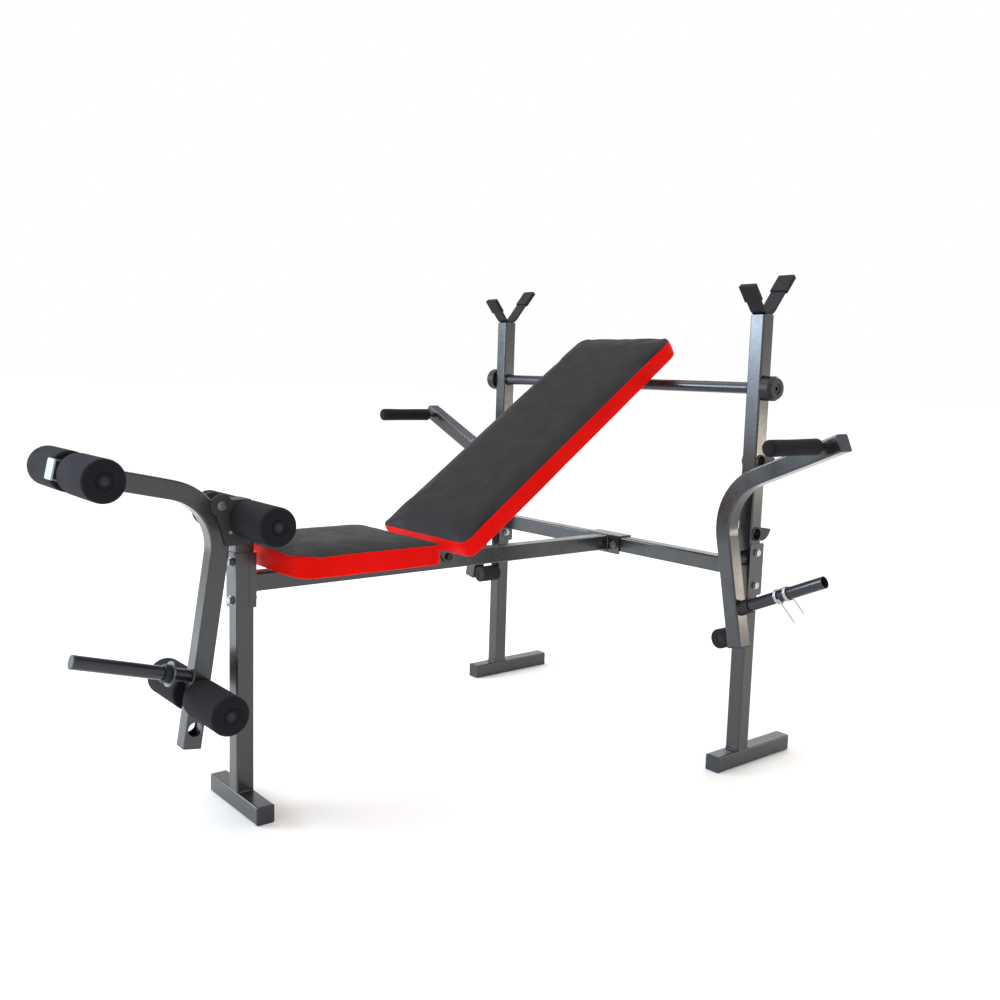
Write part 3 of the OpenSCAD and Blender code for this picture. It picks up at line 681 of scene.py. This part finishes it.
X, Y, Z = (1, 0, 0), (0, 1, 0), (0, 0, 1)
FOOT_RUN = 14.0              # half the length of a weld at a foot
FOOT_SIDE = TUBE_HALF + 1.0  # from a tube's centre to the weld beside it
CROSS_END = 396.2            # inner face of the plates at the ends of the crossbar
POST_FACE, SADDLE_FACE = 20.8, 949.6
REST_HALF = 16.0
for tag, s in (("right", 1), ("left", -1)):
    x = s * FOOT_SIDE
    weld(f"weld_post_{tag}", [row(x, y, FOOT_WELD_Z) for y in (-FOOT_RUN, FOOT_RUN)])
for tag, s in (("right", 1), ("left", -1)):
    x = UPRIGHT_X * s
    for end, y in (("front", RACK_Y - FOOT_SIDE), ("rear", RACK_Y + FOOT_SIDE)):
        weld(f"weld_upright_{end}_{tag}", [row(x + run, y, FOOT_WELD_Z) for run in (-FOOT_RUN, FOOT_RUN)])
    near, far = RACK_Y - 11.5, RACK_Y + 11.5
    loop = [(x - REST_HALF, near), (x - REST_HALF, far), (x + REST_HALF, far), (x + REST_HALF, near)]
    weld(f"weld_rest_{tag}", [row(*p, REST_WELD_Z) for p in loop], 1.9)
    weld(f"weld_crossbar_{tag}", square_ring(CROSS_END * s, RACK_Y, BEAM_Z, Y, Z), 2.0, True)
weld("weld_beam_front", square_ring(0, POST_FACE, BEAM_Z, X, Z), 2.0, True)
weld("weld_beam_rear", square_ring(0, SADDLE_FACE, BEAM_Z, X, Z, TUBE_HALF + 0.3), 2.2, True)

# ---- stage ----

bpy.ops.mesh.primitive_plane_add(size=120, location=(0, 0, 0))
floor = bpy.context.object
floor.name = "floor"
g = Graph("pale_floor")
g.set(
    Base_Color=g.ramp(g.noise(0.6, 2.0), [(0.3, (0.86, 0.835, 0.80)), (0.7, (0.88, 0.855, 0.82))]),
    Roughness=g.span(g.noise(3.0, 3.0), 0.6, 0.7),
    Specular_IOR_Level=0.2,
    Normal=g.bump(g.noise(300.0, 2.0), 0.02, 0.0002),
)
floor.data.materials.append(g.mat)


def soft_light(name, place, target, size, power, color):
    data = bpy.data.lights.new(name, "AREA")
    data.shape, data.size, data.size_y = "RECTANGLE", size[0], size[1]
    data.energy, data.color = power, color
    o = bpy.data.objects.new(name, data)
    o.location = place
    o.rotation_mode = "QUATERNION"
    o.rotation_quaternion = (Vector(place) - Vector(target)).to_track_quat("Z", "Y")
    scene.collection.objects.link(o)


CENTRE = (0, 0, 0.45)
soft_light("key", (-2.6, -3.0, 1.7), CENTRE, (2.2, 1.4), 165, (0.70, 0.85, 1.0))
soft_light("side", (2.3, 2.85, 0.52), (0.43, 0.5, 0.5), (0.9, 0.24), 8.5, (1.0, 0.88, 0.70))
soft_light("back", (-1.0, 3.6, 2.8), CENTRE, (2.6, 1.8), 40, (1.0, 0.98, 0.96))

sun = bpy.data.objects.new("overhead", bpy.data.lights.new("overhead", "SUN"))
sun.data.energy, sun.data.angle = 2.5, math.radians(75)
sun.data.color = (1.0, 0.975, 0.94)
sun.rotation_euler = (math.radians(12), math.radians(-10), 0)
scene.collection.objects.link(sun)

# The room: white near the horizon on every side, dimmer overhead.
world = bpy.data.worlds.new("studio")
world.use_nodes = True
wt = world.node_tree
way = wt.nodes.new("ShaderNodeTexCoord").outputs["Generated"]
height = wt.nodes.new("ShaderNodeSeparateXYZ")
wt.links.new(way, height.inputs[0])
sky = wt.nodes.new("ShaderNodeValToRGB")
sky.color_ramp.interpolation = "EASE"
low, high = sky.color_ramp.elements
low.position, low.color = 0.44, (1.0, 1.0, 1.0, 1)
high.position, high.color = 0.68, (0.29, 0.345, 0.42, 1)
wt.links.new(height.outputs["Z"], sky.inputs["Fac"])
wt.links.new(sky.outputs["Color"], wt.nodes["Background"].inputs["Color"])
wt.nodes["Background"].inputs["Strength"].default_value = 1.0
scene.world = world
scene.view_settings.view_transform = "Standard"
scene.view_settings.look = "None"

# ---- camera ----

# The photograph's viewing angle: turned about Z, tipped down and rolled.
TURN, PITCH, ROLL = math.radians(50.298), math.radians(6.925), math.radians(1.729)
forward = Vector((-math.sin(TURN) * math.cos(PITCH), math.cos(TURN) * math.cos(PITCH), -math.sin(PITCH)))
level = forward.cross(Vector((0, 0, 1))).normalized()
upward = level.cross(forward)
right = math.cos(ROLL) * level + math.sin(ROLL) * upward
up = -math.sin(ROLL) * level + math.cos(ROLL) * upward
cam = bpy.data.objects.new("camera", bpy.data.cameras.new("camera"))
cam.data.sensor_width, cam.data.lens = 36, 36.81
cam.data.clip_end = 100
turn = Matrix((right, up, -forward)).transposed()
cam.matrix_world = Matrix.Translation(row(1744.2, -828.2, 831.7)) @ turn.to_4x4()
scene.collection.objects.link(cam)
scene.camera = cam
